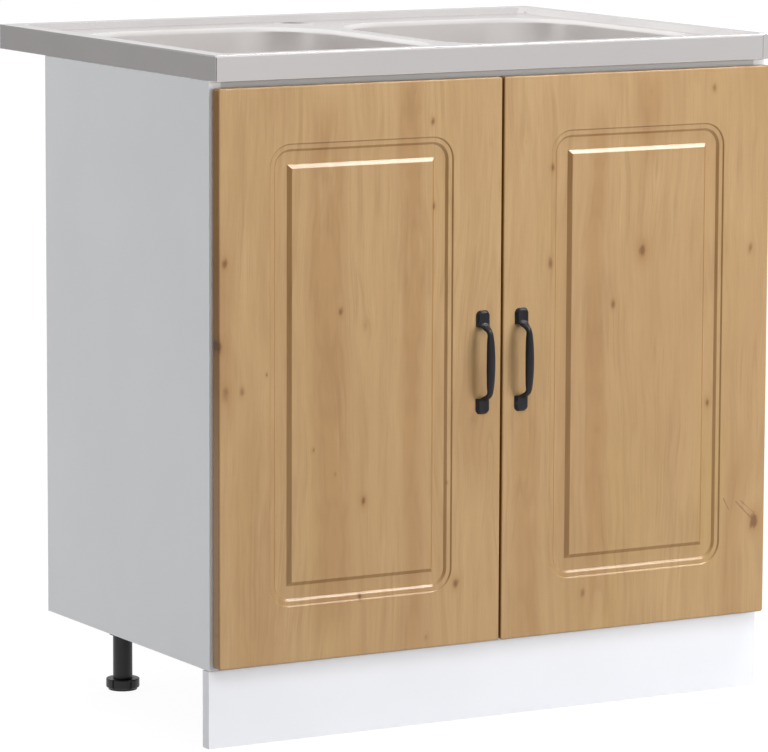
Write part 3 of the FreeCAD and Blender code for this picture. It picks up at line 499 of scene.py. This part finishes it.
def eased_profile(rows, easing, steps=3):
    """A profile whose inner corners are rounded: each corner point gives way to a curve between
    the points an easing's length before and after it, bent towards it."""
    rows = np.asarray(rows, float)
    out = [rows[0]]
    for before, corner, after in zip(rows[:-2], rows[1:-1], rows[2:]):
        ends = []
        for other in (before, after):
            reach = np.linalg.norm((other - corner)[[0, 2]])
            ends.append(corner + (other - corner) * min(0.45, easing / max(reach, 1e-9)))
        for t in np.linspace(0, 1, steps):
            out.append((1 - t) ** 2 * ends[0] + 2 * t * (1 - t) * corner + t ** 2 * ends[1])
    out.append(rows[-1])
    return np.array(out)


def strips(rings):
    """The faces of a grid of points, ring after ring: from each point to the next in its ring,
    over to the next ring, and back."""
    around = len(rings[0])
    row, place = np.meshgrid(np.arange(len(rings) - 1), np.arange(around), indexing="ij")
    near, far, after = row * around, (row + 1) * around, (place + 1) % around
    return np.stack([near + place, near + after, far + after, far + place], -1).reshape(-1, 4)


def cap(rings):
    """Triangles from each edge of the last ring to a point that follows it, its middle."""
    around = len(rings[0])
    turn = np.arange(around)
    last, middle = (len(rings) - 1) * around, len(rings) * around
    return np.stack([last + turn, last + (turn + 1) % around, np.full(around, middle)], 1)


def plate_faces(outer, holes):
    """Triangles between an outline and its rounded holes, on a plane: the points in one array,
    and the faces of a triangulation that keeps every outline as edges. A face is dropped where
    its middle lies to the left of all of a hole's edges."""
    loops = [outer, *holes]
    points = np.concatenate(loops)
    edges, start = [], 0
    for loop in loops:
        turn = np.arange(len(loop))
        edges += np.stack([start + turn, start + (turn + 1) % len(loop)], 1).tolist()
        start += len(loop)
    made = delaunay_2d_cdt([Vector(p) for p in points], edges, [], 1, 1e-7)
    flat = np.array([tuple(v) for v in made[0]])
    faces = np.array([list(f) for f in made[2]])
    middles = flat[faces].mean(axis=1)
    kept = np.ones(len(faces), bool)
    for hole in holes:
        side = np.roll(hole, -1, axis=0) - hole
        way = middles[:, None] - hole
        kept &= ~np.all(side[:, 0] * way[..., 1] - side[:, 1] * way[..., 0] > 0, axis=1)
    return flat, faces[kept]


class Shell:
    """A mesh being gathered from grids and plates, before it becomes one piece."""

    def __init__(self):
        self.points = []
        self.slopes = []
        self.faces = []
        self.count = 0

    def add(self, points, *grids, flip=False, slopes=0.0):
        """Takes in points, their slopes, and the arrays of faces between them."""
        for grid in grids:
            grid = grid + self.count
            self.faces += (grid[:, ::-1] if flip else grid).tolist()
        self.points.append(points)
        self.slopes.append(np.broadcast_to(slopes, len(points)))
        self.count += len(points)

    def mirror(self):
        """Moves all to the unit's other side, and turns the faces outwards again."""
        self.points = [points * (-1, 1, 1) for points in self.points]
        self.faces = [face[::-1] for face in self.faces]

    def piece(self, name, material, body, replaced, sheet=0.0, sharp=35.0):
        """Joins the grids at their shared edges and makes the piece, in metres. A sheet's
        thickness goes on behind its face."""
        mesh = bpy.data.meshes.new(name)
        points = np.concatenate(self.points) * millimetre
        mesh.from_pydata(points.tolist(), [], self.faces)
        steepness = mesh.attributes.new("slope", "FLOAT", "POINT")
        steepness.data.foreach_set("value", np.concatenate(self.slopes).astype(np.float32))
        form = bmesh.new()
        form.from_mesh(mesh)
        bmesh.ops.remove_doubles(form, verts=form.verts, dist=0.00002)
        form.to_mesh(mesh)
        form.free()
        mesh.materials.append(material)
        mesh.shade_smooth()
        mesh.set_sharp_from_angle(angle=math.radians(sharp))
        made = link(bpy.data.objects.new(name, mesh))
        if sheet:
            thick = made.modifiers.new("sheet", "SOLIDIFY")
            thick.thickness = sheet
            thick.offset = -1
        weighted = made.modifiers.new("flat faces stay flat", "WEIGHTED_NORMAL")
        weighted.keep_sharp = True
        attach(made, body)
        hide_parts(replaced)


door_middle = (199.3, 454.0)
door_half = np.array([198.0, 353.0])
door_front_y = -288.0
door_thickness = 16.0
# inset from the door's edge, radius of the corners there, depth behind the front face
door_profile = eased_profile([
    # the rounded edge, from the back to the face
    (0.6, 2.9, 16.0), (0.0, 3.5, 15.4), (0.0, 3.5, 2.0), (0.3, 3.2, 1.0), (1.0, 2.8, 0.3),
    (2.2, 2.4, 0.0),
    # the routing: a step down, a rise, the groove, and the bevel up to the middle field
    (69.5, 29.0, 0.0), (71.0, 27.5, 1.9), (76.2, 22.3, 1.5), (79.3, 19.2, 4.6), (95.0, 0.25, 4.6),
    (100.0, 0.25, 0.0), (150.0, 0.2, 0.0),
], 0.5, 4)
cup_bores = [(376.8, 201.0), (376.8, 707.0)]
cup_bore_radius = 17.6
cup_bore_end = 4.4  # depth behind the front face, as in the profile
bore_angle = np.linspace(0, 2 * math.pi, 48, endpoint=False)
bore_circle = np.stack([np.cos(bore_angle), np.sin(bore_angle)], 1)


def behind_face(flat, depth):
    """Points across and up the unit, set at a depth behind the doors' front face."""
    return np.insert(flat, 1, door_front_y + depth, axis=1)


def door_shell():
    """The front is a profile carried round nested rounded rectangles. A point's slope, the share
    of painted shade that the oak film darkens it by, is the square of the profile's fall there
    over that of its whole way, less on the level runs. The back is flat, with two round bores for
    the hinge cups."""
    shell = Shell()
    rings = [
        behind_face(ring_points(door_middle, door_half - inset, corner), depth)
        for inset, corner, depth in door_profile
    ]
    inward, deeper = np.gradient(door_profile[:, 0]), np.gradient(door_profile[:, 2])
    fall = deeper ** 2 / (inward ** 2 + deeper ** 2 + 1e-9)
    turn = np.linspace(0, 1, len(rings[0]) // 4) * math.pi / 2
    sideways = np.cos(np.concatenate([turn + quarter * math.pi / 2 for quarter in range(4)])) ** 2
    steep = np.outer(fall, 0.3 + 0.7 * sideways).ravel()
    centre = behind_face([door_middle], 0.0)
    points = np.concatenate([*rings, centre])
    shell.add(points, strips(rings), cap(rings), slopes=np.append(steep, 0.0))

    bores = [bore_circle * cup_bore_radius + spot for spot in cup_bores]
    back_inset, back_corner = door_profile[0, :2]
    back = ring_points(door_middle, door_half - back_inset, back_corner)
    flat, plate = plate_faces(back, bores)
    shell.add(behind_face(flat, door_thickness), plate, flip=True)
    for spot, bore in zip(cup_bores, bores):
        wall = [behind_face(bore, depth) for depth in (door_thickness, cup_bore_end)]
        end = behind_face([spot], cup_bore_end)
        shell.add(np.concatenate([*wall, end]), strips(wall), cap(wall), flip=True)
    return shell


# each knot's place across and up the unit, its size and its darkness
left_knots = [
    (-101, 756, 3, 0.8), (-389, 597, 4, 0.8), (-397, 497, 5, 1.0), (-230, 529, 3.5, 0.8),
    (-267, 362, 3, 0.6), (-388, 442, 8, 0.6), (-366, 440, 5, 0.6), (-332, 459, 2, 0.7),
    (-237, 330, 3, 0.5), (-197, 294, 4, 0.9), (-97, 651, 3, 0.8), (-77, 307, 3, 0.5),
    (-201, 175, 3, 0.8), (-65, 179, 5, 0.8), (-107, 115, 5, 0.5), (-130, 800, 5, 0.4),
    (-195, 510, 9, 0.45), (-40, 385, 10, 0.4),
]
right_knots = [
    (206, 581, 6, 1.0), (73, 691, 4, 0.8), (70, 572, 5, 0.7), (163, 515, 4, 0.7),
    (370, 575, 5, 0.6), (310, 379, 4, 0.8), (312, 782, 5, 0.6), (217, 780, 6, 0.4),
    (190, 710, 5, 0.35), (381, 221, 6, 1.0), (372, 236, 5, 0.4), (122, 150, 5, 0.6),
    (33, 725, 4, 0.4), (140, 357, 8, 0.4),
]
# each warmer band's place across the unit, its half width, its foot, its top and its strength
left_bands = [
    (-392, 16, 400, 620, 0.6), (-245, 26, 150, 770, 0.8), (-130, 15, 100, 815, 0.8),
    (-345, 30, 80, 400, 0.4), (-40, 22, 300, 450, 0.5),
]
right_bands = [
    (140, 14, 120, 750, 0.8), (210, 18, 690, 815, 0.8), (38, 22, 80, 400, 0.7),
    (350, 16, 80, 330, 0.5),
]
# each check's start across and up the unit, its run across and up, and its half width
right_checks = [
    (353, 248, 26, -25, 0.8), (360, 249, 20, -17, 0.5), (334, 253, 8, -14, 0.7),
    (379, 224, 3, -12, 1.0),
]
# the hearts' places across the unit
left_hearts, right_hearts = (-245, -130, -20), (140, 30, 300)
left_oak = oak_film("oak film left", left_hearts, left_bands, left_knots)
right_oak = oak_film("oak film right", right_hearts, right_bands, right_knots, right_checks)
left_door = door_shell()
left_door.mirror()
left_door.piece("left_door_front", left_oak, "left_door", "left_door")
door_shell().piece("right_door_front", right_oak, "right_door", "right_door")
soft_clear = Finish("soft clear pad", Base_Color=(0.75, 0.75, 0.72))
pad_haze = soft_clear.noise(soft_clear.place, 500.0, 3.0)
soft_clear.set(Roughness=soft_clear.span(pad_haze, 0.3, 0.7, 0.3, 0.5))
soft_clear.relief(pad_haze, 0.00005)
for side in ("left", "right"):
    eased_copy(f"{side}_door_bumpers", f"{side}_door", soft_clear.material, 0.0008)


# Handles: zinc castings under a matte black coat, one bow on two feet, each foot held by a
# screw through the door.
black_coat = Finish("matte black coat", IOR=1.38)
coat_grain = black_coat.noise(black_coat.place, 1900.0, 3.0, 0.6)
coat_cloud = black_coat.noise(black_coat.scaled(90, 90, 20), 1.0, 3.0)
coat_dark, coat_dusty = (0.006, 0.006, 0.008), (0.014, 0.014, 0.018)
black_coat.set(
    Base_Color=black_coat.mix(black_coat.span(coat_cloud, 0.3, 0.8), coat_dark, coat_dusty),
    Roughness=black_coat.span(coat_grain, 0.3, 0.7, 0.34, 0.5),
)
black_coat.relief(coat_grain, 0.00006)
for side in ("left", "right"):
    eased_copy(f"{side}_handle", f"{side}_door", black_coat.material, 0.0006)
    eased_copy(f"{side}_handle_screws", f"{side}_door", zinc_steel, 0.00015)


# Sink top: one sheet of satin steel, pressed to a raised rim round a sunk deck, with its
# skirt folded down at the edges, lapped over at the left rear and right front corners, and a
# raised seat round the tap hole.
satin_steel = Finish("satin steel sheet", Metallic=1.0)
brush = satin_steel.noise(satin_steel.scaled(9, 900, 900), 1.0, 3.0, 0.6)
haze = satin_steel.noise(satin_steel.scaled(7, 9, 14), 1.0, 4.0, 0.6)
satin_bright, satin_dull = (0.81, 0.776, 0.77), (0.76, 0.728, 0.722)
satin_steel.set(
    Base_Color=satin_steel.mix(satin_steel.span(haze, 0.3, 0.75), satin_bright, satin_dull),
    Roughness=satin_steel.span(haze, 0.3, 0.7, 0.19, 0.265),
)
satin_steel.relief(brush, 0.00001)
rim_middle = (0.0, 13.5)
rim_half = np.array([400.0, 300.0])
rear_lap_end, front_lap_end = 310.5, 386.0
deck_height = 839.0
# inset from the outer edge, radius of the corners there, height above the floor, laps' depth
skirt_profile = eased_profile([
    # the skirt, from its hem up
    (13.0, 2.0, 815.0, 0), (0.6, 2.0, 815.0, 0.5), (0.0, 2.4, 815.6, 0.5), (0.0, 2.4, 844.6, 0.5),
    (0.0, 2.4, 846.5, 0.03), (0.12, 2.3, 846.85, 0), (0.5, 2.1, 847.0, 0),
    # the rim, and the step down to the deck
    (4.0, 1.5, 847.0, 0), (21.7, 10.0, 847.0, 0), (22.1, 11.5, 846.8, 0), (24.6, 13.0, 839.3, 0),
    (25.2, 12.5, 839.0, 0), (26.4, 12.0, 839.0, 0),
], 0.2, 3)


def skirt_outline(inset, corner, lap):
    """A rounded rectangle. From the front lap's edge round to the rear lap's, by way of the left
    front corner, it lies a lap's depth further in. Each front corner has a seam: a dip inwards
    twice as deep, which falls off as a bell curve along the corner's arc."""
    seam_spread, step_half = 0.13, 0.1
    arcs = ring_points(rim_middle, rim_half - inset, corner).reshape(4, -1, 2)
    turn = np.linspace(0, 1, arcs.shape[1])
    seam = 2 * lap * np.exp(-((turn - 0.5) / seam_spread) ** 2) * math.sqrt(0.5)
    left, front = arcs[1, -1, 0], arcs[3, 0, 1]
    rear = min(rear_lap_end, arcs[1, -1, 1] - 2 * step_half)
    right = min(front_lap_end, arcs[3, 0, 0] - 2 * step_half)
    turned_in = np.stack([np.cos(turn * math.pi / 2) ** 2, np.sin(turn * math.pi / 2) ** 2], 1)
    arcs[2] += lap * turned_in + np.stack([seam, seam], 1)
    arcs[3] += np.stack([-seam, seam], 1)
    rear_lap = [(left, rear + step_half), (left + lap, rear - step_half)]
    front_lap = [(right - step_half, front + lap), (right + step_half, front)]
    return np.concatenate([arcs[0], arcs[1], rear_lap, arcs[2], front_lap, arcs[3]])


def at_height(flat, height):
    """Points across and along the deck, set at a height above the floor."""
    return np.insert(flat, 2, height, axis=1)


bowl_middle = (191.0, 5.5)
bowl_half = np.array([172.0, 208.0])
bowl_corner = 105.0
mouth_roll = 6.5
tap_spot = (0, 248.5)
angle = np.linspace(0, 2 * math.pi, 64, endpoint=False)
fine_circle = np.stack([np.cos(angle), np.sin(angle)], 1)
# radius and height of the rings of the tap's seat, from the deck in to the hole
tap_seat = [
    (27.0, 839.0), (26.5, 839.15), (26.0, 839.6), (25.5, 839.9), (25.0, 840.0), (17.5, 840.0),
]
sink_shell = Shell()
skirt = [
    at_height(skirt_outline(inset, corner, lap), height)
    for inset, corner, height, lap in skirt_profile
]
sink_shell.add(np.concatenate(skirt), strips(skirt))
seat = [at_height(fine_circle * radius + tap_spot, height) for radius, height in tap_seat]
mouths = [
    ring_points((side * bowl_middle[0], bowl_middle[1]), bowl_half + mouth_roll,
                bowl_corner + mouth_roll, 24)
    for side in (-1, 1)
]
deck, deck_faces = plate_faces(skirt[-1][:, :2], [*mouths, seat[0][:, :2]])
sink_shell.add(at_height(deck, deck_height), deck_faces)
sink_shell.add(np.concatenate(seat), strips(seat))
sheet = 0.0009
sink_shell.piece("sink_top_sheet", satin_steel.material, "cabinet", "sink_top", sheet, 60)


# Bowls: drawn from sheet of the same steel, rolled over at the mouth and welded under the
# deck, with a wide soft corner at the floor and a sunk seat for the waste.
bowl_steel = Finish("drawn steel bowl", Metallic=1.0)
draw_marks = bowl_steel.noise(bowl_steel.scaled(500, 500, 12), 1.0, 3.0, 0.6)
bowl_haze = bowl_steel.noise(bowl_steel.place, 9.0, 4.0, 0.6)
drawn_bright, drawn_dull = (0.88, 0.852, 0.842), (0.84, 0.812, 0.80)
bowl_steel.set(
    Base_Color=bowl_steel.mix(bowl_steel.span(bowl_haze, 0.3, 0.75), drawn_bright, drawn_dull),
    Roughness=bowl_steel.span(bowl_haze, 0.3, 0.7, 0.32, 0.4),
)
bowl_steel.relief(draw_marks, 0.00001)
bowl_depth = 145.0
bowl_floor = deck_height - bowl_depth
wall_run = 7.0  # how far the wall comes in over the bowl's depth
floor_corner = 27.0
least_corner = 40.0  # radius that the floor's outline keeps at its corners
# radius and height of the rings of the sunk seat for the waste, from the floor inwards
waste_seat = [
    (60.0, 694.0), (59.4, 693.8), (59.0, 693.2), (58.9, 691.8), (58.5, 691.2), (57.9, 691.0),
    (45.0, 691.0),
]


def bowl_profile():
    """Spread of the outline and height, from the mouth's roll down the sloping wall and round
    the floor's corner: two quarter turns, each less the wall's lean, joined by a straight."""
    lean = math.atan(wall_run / bowl_depth)
    turn = np.linspace(0, math.pi / 2 - lean, 9)
    roll = np.stack([
        mouth_roll - mouth_roll * np.sin(turn),
        deck_height - mouth_roll * (1 - np.cos(turn)),
    ], 1)
    turn = np.linspace(0, math.pi / 2 - lean, 14)
    low_spread = -wall_run * (bowl_depth - floor_corner) / bowl_depth
    corner = np.stack([
        low_spread - floor_corner * (math.cos(lean) - np.cos(turn + lean)),
        bowl_floor + floor_corner * (1 - np.sin(turn + lean)),
    ], 1)
    return np.concatenate([roll, corner])


def bowl_shell():
    """The profile carried round nested rounded rectangles, whose corners shrink with their
    spread, then a flat floor about the round seat for the waste."""
    shell = Shell()
    wall = [
        at_height(ring_points(bowl_middle, bowl_half + spread,
                              max(bowl_corner + spread, least_corner), 24), height)
        for spread, height in bowl_profile()
    ]
    seat = [at_height(fine_circle * radius + bowl_middle, height) for radius, height in waste_seat]
    floor_points, floor_faces = plate_faces(wall[-1][:, :2], [seat[0][:, :2]])
    shell.add(np.concatenate(wall), strips(wall))
    shell.add(at_height(floor_points, bowl_floor), floor_faces)
    shell.add(np.concatenate(seat), strips(seat))
    return shell


for side in ("left", "right"):
    shell = bowl_shell()
    if side == "left":
        shell.mirror()
    shell.piece(side + "_bowl_sheet", bowl_steel.material, "cabinet", side + "_bowl", sheet, 60)


# Wastes: a polished flanged cup in each bowl, a rubber ring and a moulded body under it, and
# a perforated strainer that lifts out by its knob.
polished_steel = plated_steel("polished steel", (0.72, 0.71, 0.70), 0.16)
white_plastic = moulded_plastic("white plastic", (0.78, 0.78, 0.76), 0.35)
seal_rubber = moulded_plastic("seal rubber", (0.02, 0.02, 0.02), 0.6)
for side in ("left", "right"):
    eased_copy(side + "_waste_cup", "cabinet", polished_steel, 0.0002)
    eased_copy(side + "_waste_body", "cabinet", white_plastic, 0.0005)
    eased_copy(side + "_strainer", side + "_strainer", polished_steel, 0.00015)
eased_copy("waste_seals", "cabinet", seal_rubber, 0.0004)
